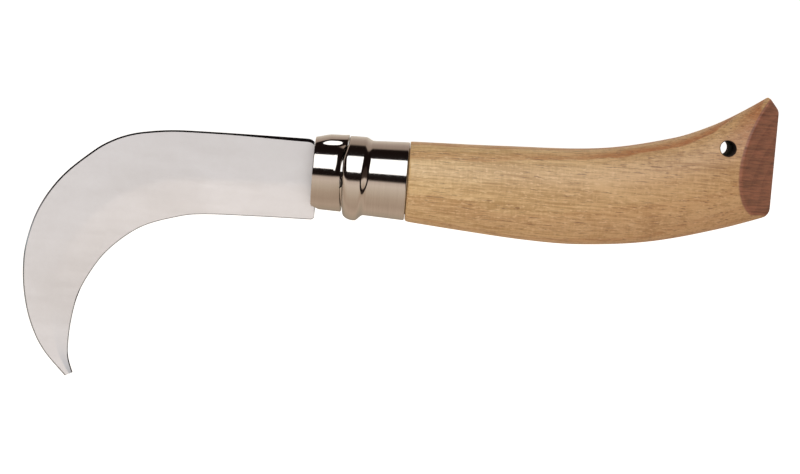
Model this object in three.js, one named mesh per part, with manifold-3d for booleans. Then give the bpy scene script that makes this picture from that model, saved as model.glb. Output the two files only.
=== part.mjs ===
// Folding hand sickle: a hooked blade shuts into a beech handle and is locked by a turning split ring.
// Millimetres. It lies on its side: +X along the collar towards the tail, +Y towards the spine, +Z up.
// Every size below is measured from the collar's axis, with X = 0 at the front plane of the lock ring.
import * as THREE from "three";
import { mergeVertices } from "three/addons/utils/BufferGeometryUtils.js";
import Module from "manifold-3d";

// ---- blade ----
const bladeReach = 78.4; // shoulder to the hook's outermost point, along X
const bladeHeight = 71.6; // spine at the shoulder to the tip, along Y
const spineHeight = 9.6; // spine above the collar's axis at the shoulder
const bladeThickness = 1.9;
const spineFlat = 0.62; // share of the thickness left between the two rounded spine corners
const grindStart = 0.56; // where the grind begins, as a share of the way from spine to edge
const edgeThickness = 0.3;
const tipThicknessShare = 0.7;
const straightShare = 0.35; // share of the blade's length, from the shoulder, that keeps its full thickness
const bladeStations = 56;
const heelReach = 1.2; // how far the heel's back edge stands behind the ring's front plane
const heelHighY = -8.7;
const heelRound = 1.0;
const tangRadius = 6.0;
const tangShoulderY = 3.4; // where the shoulder's stop face ends and the tang begins

// ---- pivot ----
const pivotX = 6.8;
const pivotY = -1.5;
const pinRadius = 1.75;
const pinChamfer = 0.25;

// ---- ferrule ----
const tubeRadius = 8.6; // outside of the front tube, which the ring turns on
const tubeWall = 0.7;
const tubeBore = tubeRadius - tubeWall;
const pinHalfLength = tubeRadius - 0.6;
const rimHeight = 0.55;
const rimRadius = tubeRadius + rimHeight;
const rimLength = 0.75;
// Foot of the bead's front, as [degrees round the axis from the belly, x]: nearer on the +Z side.
const beadFront = [
  [0, 8.95], [30, 8.8], [60, 8.5], [90, 8.25], [118, 8.2], [135, 8.75], [150, 9.25], [165, 9.4],
  [200, 9.35], [235, 9.1], [360, 8.95],
];
const neckStep = 10.2; // where the wood goes from the front tube's bore to the cone's
const beadCrown = 11.1;
const beadRear = 15.7;
const beadRadius = 11.7;
const beadDrop = 0.35; // the bead stands this much further out at the belly, and less at the spine
const coneFrontRadius = 10.45;
const coneRearRadius = 10.9;
const coneWall = 0.9;
const ferruleLength = 26.1;

// ---- lock ring ----
const ringLength = 8.7;
// Rear edge of the ring, as [degrees, x]: scalloped on the +Z side, furthest back under the lip.
const ringRear = [
  [0, 8.45], [30, 8.3], [60, 7.9], [90, 7.65], [118, 7.75], [135, 8.3], [150, 8.85], [165, 9.0],
  [180, 9.0], [200, 8.75], [230, 8.45], [360, 8.45],
];
const ringFrontWall = 1.1;
const ringRearWall = 1.35;
const ringLift = 0.27; // the ring stands this much higher at the spine side than at the belly
const ringLip = 0.92; // flare of the rear edge at the thumb side
const ringLipLength = 5.6;
const ringLipWall = 0.8;
const ringLipAngles = [143, 158, 208, 230]; // the lip rises between the first two and falls between the last
const ringGapHalfAngle = 8.5;
const ringRecess = 2.1; // front edge's cut-back beside the gap
const ringRampRecess = 1.6; // cut-back left at the far end of the cam ramp
const ringRampAngle = 42;
const ringRampEnd = 62;
const ringLeadAngle = 34; // where the near side's short lead-in has run out

// ---- handle ----
const handleRear = 127.3;
const handleFront = 26.5;
const neckRadius = tubeBore - 0.3; // wood inside the front tube
const neckFront = 0.6;
const coneNeckRadius = 9.2; // wood inside the ferrule's cone
const handleShoulderRound = 0.8;
const tailFacetSlope = 1.07; // tail facets: fall in X for each millimetre sideways
const tailTopFall = 3.5; // the top chamfer's size
const tailTopY = 31.3;
const tailCornerRadius = 3.0;
const tailCornerY = -1.6;
const lanyardHoleBack = 14.35; // hole's centre in front of the tail's ridge
const lanyardHoleY = 16.56;
const lanyardHoleRadius = 2.1;

// ---- slot and fits ----
const slotSide = 0.35; // room beside the blade
const slotWidth = bladeThickness + 2 * slotSide;
const slotRoofY = 5.2; // roof of the slot above the tang
const slotMiddleY = 7.2;
const slotRearY = 15.6;
const runningFit = 0.08; // pin in the blade, the ferrule and the wood
const restGap = 0.3; // between pieces that touch or stop on each other
const slotClearance = 0.7;

const wasm = await Module();
wasm.setup();
const degrees = THREE.MathUtils.degToRad;

// ---- solids ----
/** A three.js geometry as a manifold solid. */
function solid(geometry) {
  const bare = geometry.index ? geometry.toNonIndexed() : geometry.clone();
  bare.deleteAttribute("normal");
  bare.deleteAttribute("uv");
  const merged = mergeVertices(bare, 1e-4);
  return new wasm.Manifold(
    new wasm.Mesh({
      numProp: 3,
      vertProperties: merged.attributes.position.array,
      triVerts: new Uint32Array(merged.index.array),
    }),
  );
}

/** A manifold solid as a named mesh. */
function meshOf(name, made, material) {
  const { vertProperties, triVerts } = made.getMesh();
  const geometry = new THREE.BufferGeometry();
  geometry.setAttribute("position", new THREE.BufferAttribute(new Float32Array(vertProperties), 3));
  geometry.setIndex(new THREE.BufferAttribute(new Uint32Array(triVerts), 1));
  geometry.computeVertexNormals();
  const mesh = new THREE.Mesh(geometry, material);
  mesh.name = name;
  return mesh;
}

/** Skin over a row of equal closed rings of points; the two ends are capped, or joined when closed. */
function skin(rings, closed = false) {
  const count = rings[0].length;
  const positions = rings.flat(2);
  const faces = [];
  const bands = closed ? rings.length : rings.length - 1;
  for (let i = 0; i < bands; i++) {
    const next = ((i + 1) % rings.length) * count;
    for (let j = 0; j < count; j++) {
      const k = (j + 1) % count;
      faces.push(i * count + j, i * count + k, next + k);
      faces.push(i * count + j, next + k, next + j);
    }
  }
  const capOf = (ring, flip) => {
    const [a, b] = flatPlane(ring);
    const outline = ring.map((p) => new THREE.Vector2(p[a], p[b]));
    const triangles = THREE.ShapeUtils.triangulateShape(outline, []);
    return triangles.map((t) => (flip ? [t[2], t[1], t[0]] : t));
  };
  if (!closed) {
    const last = (rings.length - 1) * count;
    const turned = !isWound(rings[0]);
    faces.push(...capOf(rings[0], !turned).flat());
    faces.push(...capOf(rings.at(-1), turned).flat().map((i) => i + last));
  }
  const geometry = new THREE.BufferGeometry();
  geometry.setAttribute("position", new THREE.BufferAttribute(new Float32Array(positions), 3));
  geometry.setIndex(faces);
  return outward(geometry);
}

/** The two coordinates in which a flat ring of points shows its area. */
function flatPlane(ring) {
  const area = (a, b) => Math.abs(THREE.ShapeUtils.area(ring.map((p) => new THREE.Vector2(p[a], p[b]))));
  const planes = [[1, 2], [2, 0], [0, 1]];
  return planes.reduce((best, plane) => (area(...plane) > area(...best) ? plane : best));
}

/** Whether a ring runs anticlockwise in its own flat plane. */
function isWound(ring) {
  const [a, b] = flatPlane(ring);
  return THREE.ShapeUtils.area(ring.map((p) => new THREE.Vector2(p[a], p[b]))) > 0;
}

/** The geometry with its faces turned to point outwards. */
function outward(geometry) {
  const index = geometry.index.array;
  const p = geometry.attributes.position;
  const [a, b, c] = [new THREE.Vector3(), new THREE.Vector3(), new THREE.Vector3()];
  let volume = 0;
  for (let i = 0; i < index.length; i += 3) {
    a.fromBufferAttribute(p, index[i]);
    b.fromBufferAttribute(p, index[i + 1]);
    c.fromBufferAttribute(p, index[i + 2]);
    volume += a.dot(b.cross(c));
  }
  if (volume < 0) {
    for (let i = 0; i < index.length; i += 3) [index[i + 1], index[i + 2]] = [index[i + 2], index[i + 1]];
  }
  return geometry;
}

/** Smooth curve through [x, y] points with x rising, read at x. */
function curveAt(points, x) {
  const i = Math.max(0, Math.min(points.length - 2, points.findIndex((p) => p[0] > x) - 1));
  const slope = (j) => {
    const before = points[Math.max(0, j - 1)];
    const after = points[Math.min(points.length - 1, j + 1)];
    return (after[1] - before[1]) / (after[0] - before[0]);
  };
  const width = points[i + 1][0] - points[i][0];
  const t = (x - points[i][0]) / width;
  const rise = t * t * (3 - 2 * t);
  const bend = t * (1 - t) * width * (slope(i) * (1 - t) - slope(i + 1) * t);
  return points[i][1] * (1 - rise) + points[i + 1][1] * rise + bend;
}

/** A flat shape given as a polygon of [x, y] points, made into a plate of the given width about Z = 0. */
function plate(points, width) {
  const shape = new THREE.Shape(points.map(([x, y]) => new THREE.Vector2(x, y)));
  const geometry = new THREE.ExtrudeGeometry(shape, { depth: width, bevelEnabled: false });
  return solid(geometry.translate(0, 0, -width / 2));
}

/** Points on an arc, from one angle to another in degrees. */
function arcPoints(x, y, radius, from, to, steps) {
  return Array.from({ length: steps + 1 }, (_, i) => {
    const angle = degrees(from + ((to - from) * i) / steps);
    return [x + radius * Math.cos(angle), y + radius * Math.sin(angle)];
  });
}

/** A round bar along Z. */
function bar(x, y, radius, halfLength, segments) {
  const geometry = new THREE.CylinderGeometry(radius, radius, 2 * halfLength, segments);
  return solid(geometry.rotateX(Math.PI / 2).translate(x, y, 0));
}

/** A solid turned about the collar's axis from [x, radius] points. */
function turned(points, segments) {
  const profile = points.map(([x, radius]) => new THREE.Vector2(radius, x));
  return solid(outwardOf(new THREE.LatheGeometry(profile, segments).rotateZ(-Math.PI / 2)));
}

/** A non-indexed or unmerged geometry, closed up and turned to face outwards. */
function outwardOf(geometry) {
  geometry.deleteAttribute("normal");
  geometry.deleteAttribute("uv");
  return outward(mergeVertices(geometry, 1e-4));
}

/** A profile that changes as it goes round the collar's axis; angle 0 is the belly, 90 the +Z side. */
function sweptRound(profileAt, from, to, steps) {
  const whole = to - from === 360;
  const rings = Array.from({ length: whole ? steps : steps + 1 }, (_, i) => {
    const angle = from + ((to - from) * i) / steps;
    const [c, s] = [Math.cos(degrees(angle)), Math.sin(degrees(angle))];
    return profileAt(angle).map(([x, radius]) => [x, -radius * c, radius * s]);
  });
  return solid(skin(rings, whole));
}

// ---- blade ----
// Both outlines run from the shoulder to the tip, as shares of the blade's reach and height.
const spineLine = [
  [0.004, 0], [0.242, 0.003], [0.428, 0.0055], [0.51, 0.0096], [0.582, 0.0183], [0.65, 0.0338],
  [0.715, 0.0612], [0.781, 0.11], [0.887, 0.223], [0.96, 0.35], [0.997, 0.49], [1.001, 0.609],
  [0.984, 0.728], [0.951, 0.83], [0.904, 0.913], [0.826, 1],
];
const edgeLine = [
  [0.003, 0.313], [0.191, 0.318], [0.389, 0.328], [0.487, 0.351], [0.58, 0.388], [0.651, 0.44],
  [0.721, 0.517], [0.774, 0.612], [0.802, 0.689], [0.817, 0.779], [0.822, 0.862], [0.818, 0.927],
  [0.799, 0.985],
];

function bladeCurve(line) {
  return new THREE.SplineCurve(
    line.map(([u, v]) => new THREE.Vector2(-u * bladeReach, spineHeight - v * bladeHeight)),
  );
}

/** The ground blade: thick and rounded at the spine, flat for half its height, then ground to the edge. */
function groundBlade() {
  const spine = bladeCurve(spineLine).getSpacedPoints(bladeStations);
  const edge = bladeCurve(edgeLine).getSpacedPoints(bladeStations);
  const rings = spine.map((top, i) => {
    const thinning = THREE.MathUtils.smoothstep(i / bladeStations, straightShare, 1);
    const half = (bladeThickness / 2) * THREE.MathUtils.lerp(1, tipThicknessShare, thinning);
    const corner = (half * (1 - spineFlat)) / top.distanceTo(edge[i]);
    const side = [
      [0, half * spineFlat],
      [corner, half],
      [grindStart, half],
      [1, edgeThickness / 2],
    ];
    const at = ([share, z], sign) => [
      THREE.MathUtils.lerp(top.x, edge[i].x, share),
      THREE.MathUtils.lerp(top.y, edge[i].y, share),
      sign * z,
    ];
    return [...side.map((p) => at(p, 1)), ...side.toReversed().map((p) => at(p, -1))];
  });
  return solid(skin(rings));
}

function makeBlade() {
  const shoulderX = -restGap;
  const heelY = spineHeight - edgeLine[0][1] * bladeHeight;
  const tang = plate(
    [
      [shoulderX - 1.5, spineHeight - 1],
      [shoulderX, spineHeight - 1],
      [shoulderX, tangShoulderY],
      ...arcPoints(pivotX, pivotY, tangRadius, 90, -90, 20),
      [heelReach, heelHighY],
      ...arcPoints(heelReach - heelRound, heelY + heelRound, heelRound, 0, -90, 6),
      [shoulderX - 1.5, heelY],
    ].reverse(),
    bladeThickness,
  );
  const hole = bar(pivotX, pivotY, pinRadius + runningFit, 2 * bladeThickness, 48);
  return groundBlade().add(tang).subtract(hole);
}

/** Distance from the pivot to the blade's farthest point. */
function tipRadius() {
  const points = [...bladeCurve(spineLine).getPoints(60), ...bladeCurve(edgeLine).getPoints(60)];
  return Math.max(...points.map((p) => Math.hypot(p.x - pivotX, p.y - pivotY)));
}

// ---- slot ----
/** The blade's slot: open at the belly, with a curved roof and a rear end round the pivot. */
function slot() {
  const rearRadius = tipRadius() + slotClearance;
  const roofFrontX = pivotX + 14;
  const rearX = pivotX + Math.sqrt(rearRadius ** 2 - (slotRearY - pivotY) ** 2);
  const roof = new THREE.SplineCurve([
    new THREE.Vector2(roofFrontX, slotRoofY),
    new THREE.Vector2((roofFrontX + rearX) / 2, slotMiddleY),
    new THREE.Vector2(rearX, slotRearY),
  ]).getPoints(16);
  const rearTop = THREE.MathUtils.radToDeg(Math.asin((slotRearY - pivotY) / rearRadius));
  const rearBottom = THREE.MathUtils.radToDeg(Math.asin((-20 - pivotY) / rearRadius));
  const outline = [
    [-2, -20],
    [-2, slotRoofY],
    ...roof.map((p) => [p.x, p.y]),
    ...arcPoints(pivotX, pivotY, rearRadius, rearTop, rearBottom, 10).slice(1),
  ];
  return plate(outline.reverse(), slotWidth);
}

// ---- handle ----
// Top, bottom and side of the grip, as [share of the handle's length, distance from the collar's axis].
const handleTop = [
  [0, 11.15], [0.253, 12.05], [0.521, 13.7], [0.716, 18.1], [0.818, 22.3], [0.908, 27.6], [1.037, 36.6],
];
const handleBottom = [
  [0, -11.15], [0.144, -12.3], [0.332, -13.5], [0.481, -13.5], [0.674, -11.15], [0.868, -5.9], [1.037, 0.2],
];
const handleSide = [[0, 11.15], [0.233, 10.9], [0.531, 10.8], [0.779, 10.2], [0.908, 9.6], [1.037, 9]];
const handleLastShare = 1.036; // the grip is made a little too long, and its tail is then cut
const handleStations = 30;
const sectionPoints = 40;
const sectionPower = 2.15; // above 2, a section is fuller than an ellipse
const roundShare = 0.33; // the section has reached its full power this far behind the ferrule
const tailPower = 1.85; // power of the section's upper half at the tail
const tailShares = [0.72, 0.94]; // between these the upper half changes to it

function handleX(share) {
  return handleFront + share * (handleRear - handleFront);
}

function handleSection(share, inset) {
  const top = curveAt(handleTop, share) - inset;
  const bottom = curveAt(handleBottom, share) + inset;
  const side = curveAt(handleSide, share) - inset;
  const { lerp, smoothstep } = THREE.MathUtils;
  const full = lerp(2, sectionPower, smoothstep(share, 0, roundShare));
  const slimming = (tailPower - sectionPower) * smoothstep(share, ...tailShares);
  return Array.from({ length: sectionPoints }, (_, i) => {
    const angle = (2 * Math.PI * i) / sectionPoints;
    const [c, s] = [Math.cos(angle), Math.sin(angle)];
    const power = full + slimming * smoothstep(c, -0.1, 0.35);
    const y = (Math.sign(c) * Math.abs(c) ** (2 / power) * (top - bottom)) / 2 + (top + bottom) / 2;
    return [y, Math.sign(s) * Math.abs(s) ** (2 / power) * side];
  });
}

/** The oval grip before its tail is cut. */
function grip() {
  const ringAt = (share, inset, x) => handleSection(share, inset).map(([y, z]) => [x, y, z]);
  const step = handleLastShare / handleStations;
  const shares = Array.from({ length: handleStations }, (_, i) => step * (i + 1));
  return solid(
    skin([
      ringAt(0, handleShoulderRound, handleFront),
      ringAt(0, 0, handleFront + handleShoulderRound),
      ...shares.map((share) => ringAt(share, 0, handleX(share))),
    ]),
  );
}

/** What the tail's cuts leave: two facets that meet in a ridge, a top chamfer and a round lower corner. */
function tailTrim() {
  const wide = 30;
  const facets = new THREE.Shape(
    [
      [0, -wide],
      [handleRear - tailFacetSlope * wide, -wide],
      [handleRear, 0],
      [handleRear - tailFacetSlope * wide, wide],
      [0, wide],
    ].map(([x, z]) => new THREE.Vector2(x, z)),
  );
  const tent = new THREE.ExtrudeGeometry(facets, { depth: 90, bevelEnabled: false });
  tent.rotateX(Math.PI / 2).translate(0, 50, 0);
  const cornerX = handleRear - tailCornerRadius;
  const corner = arcPoints(cornerX, tailCornerY + tailCornerRadius, tailCornerRadius, -70, 0, 6);
  const outline = [
    [0, -30],
    [handleRear - 12, -30],
    ...corner,
    [handleRear, tailTopY - tailTopFall],
    [handleRear - tailTopFall - 20, tailTopY + 20],
    [0, 60],
  ];
  return solid(tent).intersect(plate(outline, 2 * wide));
}

function makeHandle() {
  const neck = turned(
    [
      [neckFront, 0],
      [neckFront, neckRadius],
      [neckStep, neckRadius],
      [neckStep, coneNeckRadius],
      [handleFront + 2, coneNeckRadius],
      [handleFront + 2, 0],
    ],
    56,
  );
  const lanyardHole = bar(handleRear - lanyardHoleBack, lanyardHoleY, lanyardHoleRadius, 20, 40);
  const pinHole = bar(pivotX, pivotY, pinRadius + runningFit, 20, 48);
  return grip()
    .intersect(tailTrim())
    .add(neck)
    .subtract(slot())
    .subtract(lanyardHole)
    .subtract(pinHole);
}

// ---- ferrule ----
function ferruleProfile(angle) {
  const bead = beadRadius + beadDrop * Math.cos(degrees(angle));
  const belly = (1 + Math.cos(degrees(angle))) / 2;
  const coneFront = neckStep - restGap;
  const front = curveAt(beadFront, angle);
  const coneBore = coneNeckRadius + restGap;
  return [
    [0, tubeBore],
    [0, rimRadius],
    [rimLength, rimRadius],
    [rimLength, tubeRadius],
    [front, tubeRadius],
    [front, bead - 0.4 - 0.7 * belly],
    [front + 0.9, bead - 0.1 - 0.3 * belly],
    [beadCrown, bead],
    [beadCrown + 1.5, bead],
    [beadCrown + 2.7, bead - 0.1 - 0.6 * belly],
    [beadCrown + 3.6, bead - 0.45 - 0.75 * belly],
    [beadRear, coneFrontRadius],
    [ferruleLength - 0.5, coneRearRadius],
    [ferruleLength, coneRearRadius - 0.4],
    [ferruleLength, coneRearRadius - coneWall],
    [coneFront, coneBore],
    [coneFront, tubeBore],
  ];
}

function makeFerrule() {
  const pinHole = bar(pivotX, pivotY, pinRadius + runningFit, 20, 48);
  return sweptRound(ferruleProfile, 0, 360, 72).subtract(slot()).subtract(pinHole);
}

// ---- lock ring ----
/** Front edge of the ring: cut back beside the gap, with the long cam ramp on the far side. */
function ringFrontEdge(angle) {
  const { smoothstep, lerp } = THREE.MathUtils;
  if (angle < 180) return ringRecess * (1 - smoothstep(angle, ringGapHalfAngle, ringLeadAngle));
  const far = 360 - angle;
  const ramp = lerp(ringRecess, ringRampRecess, smoothstep(far, ringGapHalfAngle, ringRampAngle));
  return ramp * (1 - smoothstep(far, ringRampAngle, ringRampEnd));
}

function ringProfile(angle) {
  const front = ringFrontEdge(angle);
  const rear = curveAt(ringRear, angle);
  const [low, high, end, gone] = ringLipAngles;
  const { smoothstep } = THREE.MathUtils;
  const lip = ringLip * smoothstep(angle, low, high) * (1 - smoothstep(angle, end, gone));
  const lift = -ringLift * Math.cos(degrees(angle));
  const bore = tubeRadius + restGap;
  const step = Math.max(rimLength + restGap, front + 0.3);
  const lipFront = ringLength - ringLipLength;
  const radiusAt = (x) => bore + THREE.MathUtils.lerp(ringFrontWall, ringRearWall, x / ringLength) + lift;
  return [
    [front, radiusAt(front)],
    [lipFront, radiusAt(lipFront)],
    [lipFront + 0.5 * ringLipLength, radiusAt(lipFront + 0.5 * ringLipLength) + 0.6 * lip],
    [rear, radiusAt(rear) + lip],
    [rear, Math.max(bore, radiusAt(rear) + lip - ringLipWall)],
    [lipFront + 0.5 * ringLipLength, bore + 0.4 * lip],
    [lipFront, bore],
    [step, bore],
    [step, rimRadius + restGap],
    [front, rimRadius + restGap],
  ];
}

function makeLockRing() {
  return sweptRound(ringProfile, ringGapHalfAngle, 360 - ringGapHalfAngle, 64);
}

// ---- pivot pin ----
function makePivotPin() {
  const profile = [
    [0, -pinHalfLength],
    [pinRadius - pinChamfer, -pinHalfLength],
    [pinRadius, -pinHalfLength + pinChamfer],
    [pinRadius, pinHalfLength - pinChamfer],
    [pinRadius - pinChamfer, pinHalfLength],
    [0, pinHalfLength],
  ].map(([radius, z]) => new THREE.Vector2(radius, z));
  const geometry = new THREE.LatheGeometry(profile, 48);
  return solid(outwardOf(geometry.rotateX(Math.PI / 2).translate(pivotX, pivotY, 0)));
}

// ---- assembly ----
const beech = new THREE.MeshStandardMaterial({ color: 0xd9a678, roughness: 0.6 });
const polishedSteel = new THREE.MeshStandardMaterial({ color: 0xb9b4ae, roughness: 0.18, metalness: 1 });
const ringSteel = new THREE.MeshStandardMaterial({ color: 0xc4bfb9, roughness: 0.16, metalness: 1 });
const satinSteel = new THREE.MeshStandardMaterial({ color: 0xcfcaca, roughness: 0.38, metalness: 1 });
const pinSteel = new THREE.MeshStandardMaterial({ color: 0xa8a6a2, roughness: 0.3, metalness: 1 });

const sickle = new THREE.Group();
sickle.name = "folding_hand_sickle";
sickle.add(
  meshOf("handle", makeHandle(), beech),
  meshOf("ferrule", makeFerrule(), polishedSteel),
  meshOf("lock_ring", makeLockRing(), ringSteel),
  meshOf("pivot_pin", makePivotPin(), pinSteel),
  meshOf("blade", makeBlade(), satinSteel),
);

// The part's frame has its origin under the middle of the whole, at the lowest point.
const bounds = new THREE.Box3().setFromObject(sickle);
const middle = bounds.getCenter(new THREE.Vector3());
for (const piece of sickle.children) {
  piece.geometry.translate(-middle.x, -middle.y, -bounds.min.z);
}

export default sickle;
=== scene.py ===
"""Folding hand sickle: the looks of its blade, collar and beech handle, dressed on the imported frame."""

import logging
from collections.abc import Sequence
from dataclasses import dataclass
from enum import Enum

import bmesh
import bpy
import numpy as np
from mathutils import Matrix, Vector


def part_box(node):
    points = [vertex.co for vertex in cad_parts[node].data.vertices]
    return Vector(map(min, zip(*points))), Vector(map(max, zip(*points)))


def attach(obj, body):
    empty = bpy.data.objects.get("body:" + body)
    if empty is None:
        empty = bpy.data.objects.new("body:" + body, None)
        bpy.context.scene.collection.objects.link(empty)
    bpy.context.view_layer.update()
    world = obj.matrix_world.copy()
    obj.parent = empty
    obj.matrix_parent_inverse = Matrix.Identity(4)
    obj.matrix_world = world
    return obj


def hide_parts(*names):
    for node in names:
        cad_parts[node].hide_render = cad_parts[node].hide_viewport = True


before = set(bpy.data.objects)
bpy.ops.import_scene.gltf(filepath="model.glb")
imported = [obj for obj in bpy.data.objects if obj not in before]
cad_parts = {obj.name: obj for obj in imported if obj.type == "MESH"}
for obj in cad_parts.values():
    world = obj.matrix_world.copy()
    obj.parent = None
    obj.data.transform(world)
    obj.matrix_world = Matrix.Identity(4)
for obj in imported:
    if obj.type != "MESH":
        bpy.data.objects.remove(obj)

log = logging.getLogger("sickle")

MM = 0.001
WELD = 2e-7  # points nearer than this become one, in metres
SLIVER = 1e-8  # edges shorter than this are dissolved, in metres
CURVE_STEPS = 40  # fine steps between two given points of a curve
DRILL_REACH = 16.0  # a drill's length to each side of the blade's plane, in millimetres

Triple = tuple[float, float, float]
Pairs = Sequence[tuple[float, float]]


# ---------------------------------------------------------------------------
# Shapes
# ---------------------------------------------------------------------------


def smooth(value: np.ndarray, low: float, high: float) -> np.ndarray:
    """Smooth step: 0 below low, 1 above high, 3t^2 - 2t^3 between them."""
    t = np.clip((value - low) / (high - low), 0.0, 1.0)
    return t * t * (3.0 - 2.0 * t)


def even_path(points: Pairs, count: int) -> np.ndarray:
    """Points at equal steps along a smooth curve through the given points.

    The curve is a uniform Catmull-Rom spline: between two points it is the cubic whose slope at
    each point is half the way from the point before to the point after.

    Args:
        points: The points that the curve goes through, in millimetres.
        count: How many points to return.

    Returns:
        Array of shape (count, 2).
    """
    p = np.asarray(points, float)
    padded = np.vstack([p[:1], p, p[-1:]])
    t = np.linspace(0.0, 1.0, CURVE_STEPS, endpoint=False)[None, :, None]
    a, b, c, d = (padded[i : len(p) - 1 + i][:, None, :] for i in range(4))
    cubic = 0.5 * (
        2 * b + (c - a) * t + (2 * a - 5 * b + 4 * c - d) * t**2 + (3 * b - a - 3 * c + d) * t**3
    )
    fine = np.vstack([cubic.reshape(-1, 2), p[-1:]])
    run = np.concatenate([[0.0], np.cumsum(np.linalg.norm(np.diff(fine, axis=0), axis=1))])
    at = np.linspace(0.0, run[-1], count)
    return np.stack([np.interp(at, run, fine[:, k]) for k in range(2)], axis=-1)


def height_at(points: Pairs, x: np.ndarray) -> np.ndarray:
    """Smooth height over x: a cubic between each two points, its slopes taken from their neighbours.

    Args:
        points: (x, height) pairs with x rising.
        x: Where to read the curve; any shape.

    Returns:
        The heights, in the shape of x.
    """
    p = np.asarray(points, float)
    order = np.arange(len(p))
    before, after = p[np.maximum(order - 1, 0)], p[np.minimum(order + 1, len(p) - 1)]
    slope = (after[:, 1] - before[:, 1]) / (after[:, 0] - before[:, 0])
    i = np.clip(np.searchsorted(p[:, 0], x, side="right") - 1, 0, len(p) - 2)
    width = p[i + 1, 0] - p[i, 0]
    t = (x - p[i, 0]) / width
    rise = t * t * (3 - 2 * t)
    bend = t * (1 - t) * width * (slope[i] * (1 - t) - slope[i + 1] * t)
    return p[i, 1] * (1 - rise) + p[i + 1, 1] * rise + bend


def round_axis(angles: np.ndarray, profiles: np.ndarray) -> np.ndarray:
    """Carries profiles round the collar's axis.

    A profile point (x, r) at angle a goes to (x, -r cos a, r sin a), so 0 degrees is the belly,
    90 the upper side and 180 the spine side.

    Args:
        angles: Degrees, one for each profile.
        profiles: Array of shape (angles, points, 2).

    Returns:
        Array of shape (angles, points, 3).
    """
    a = np.radians(angles)[:, None]
    x, r = profiles[..., 0], profiles[..., 1]
    return np.stack([x, -r * np.cos(a), r * np.sin(a)], axis=-1)


class Ends(Enum):
    """How a surface carried along a path ends."""

    CAPPED = "flat caps on both ends"
    JOINED = "the last row joins the first"


@dataclass(frozen=True)
class CollarPlace:
    """Where the collar's own millimetre frame stands in the row's frame."""

    origin: Triple

    @classmethod
    def from_frame(cls) -> "CollarPlace":
        """Reads the place off the lock ring's front and the pivot pin's middle.

        Returns:
            The place.
        """
        ring_low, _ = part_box("lock_ring")
        pin_low, pin_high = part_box("pivot_pin")
        middle = (pin_low + pin_high) / 2
        return cls((ring_low.x, middle.y - Pivot().y * MM, middle.z))

    def metres(self, points: np.ndarray) -> np.ndarray:
        """Points in millimetres from the ring's front on the collar's axis, as row coordinates."""
        return points * MM + np.asarray(self.origin)


def grid_piece(name: str, place: CollarPlace, rows: np.ndarray, ends: Ends) -> bpy.types.Object:
    """A closed skin over rows of points, each row a closed loop.

    Args:
        name: Name of the new object.
        place: The collar's place.
        rows: Points in millimetres, of shape (rows, points in a row, 3).
        ends: Whether the ends are capped or joined.

    Returns:
        The object, linked to the scene, with smooth faces that point outwards.
    """
    count, around = rows.shape[:2]
    index = np.arange(count * around).reshape(count, around)
    low = index if ends is Ends.JOINED else index[:-1]
    high = np.roll(index, -1, axis=0) if ends is Ends.JOINED else index[1:]
    corners = [low, np.roll(low, -1, axis=1), np.roll(high, -1, axis=1), high]
    faces = np.stack(corners, axis=-1).reshape(-1, 4).tolist()
    if ends is Ends.CAPPED:
        faces += [index[0, ::-1].tolist(), index[-1].tolist()]
    return mesh_piece(name, place.metres(rows.reshape(-1, 3)), faces)


def mesh_piece(name: str, points: np.ndarray, faces: list[list[int]]) -> bpy.types.Object:
    """A mesh object from points in metres and faces, doubles merged, normals outward.

    Args:
        name: Name of the new object.
        points: Array of shape (points, 3), in metres.
        faces: Index lists.

    Returns:
        The object, linked to the scene.
    """
    mesh = bpy.data.meshes.new(name)
    mesh.from_pydata(points.tolist(), [], faces)
    piece = bpy.data.objects.new(name, mesh)
    bpy.context.scene.collection.objects.link(piece)
    clean(piece)
    return piece


def clean(piece: bpy.types.Object) -> None:
    """Merges doubles, turns the faces outwards and shades them smooth.

    Args:
        piece: The object whose mesh is put in order.
    """
    work = bmesh.new()
    work.from_mesh(piece.data)
    bmesh.ops.remove_doubles(work, verts=work.verts, dist=WELD)
    bmesh.ops.dissolve_degenerate(work, dist=SLIVER, edges=work.edges)
    bmesh.ops.recalc_face_normals(work, faces=work.faces)
    work.to_mesh(piece.data)
    work.free()
    piece.data.shade_smooth()


def settle(piece: bpy.types.Object) -> None:
    """Bakes the object's modifiers into its mesh.

    Args:
        piece: The object, which keeps no modifier.
    """
    depsgraph = bpy.context.evaluated_depsgraph_get()
    baked = bpy.data.meshes.new_from_object(piece.evaluated_get(depsgraph))
    piece.modifiers.clear()
    old, piece.data = piece.data, baked
    bpy.data.meshes.remove(old)


def cut_away(piece: bpy.types.Object, *tools: bpy.types.Object) -> None:
    """Cuts each tool's shape out of the piece, and throws the tools away.

    Args:
        piece: The object that is cut.
        tools: The cutters, each a closed mesh.
    """
    for tool in tools:
        cut = piece.modifiers.new("cut", "BOOLEAN")
        cut.operation = "DIFFERENCE"
        cut.solver = "EXACT"
        cut.object = tool
        settle(piece)
        bpy.data.objects.remove(tool)


def crisp(piece: bpy.types.Object, angle: float) -> None:
    """Shades smooth, and sharp only across edges that turn by more than the angle in degrees."""
    piece.data.shade_smooth()
    piece.data.set_sharp_from_angle(angle=np.radians(angle))


def plate_tool(name: str, place: CollarPlace, outline: np.ndarray, width: float) -> bpy.types.Object:
    """A cutter: a flat outline given a width about the blade's plane.

    Args:
        name: Name of the cutter.
        place: The collar's place.
        outline: Array of shape (points, 2), in millimetres.
        width: The whole width along Z, in millimetres.

    Returns:
        The cutter.
    """
    loop = np.concatenate([outline, np.zeros((len(outline), 1))], axis=1)
    rows = np.stack([loop + [0, 0, -width / 2], loop + [0, 0, width / 2]])
    return grid_piece(name, place, rows, Ends.CAPPED)


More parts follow.
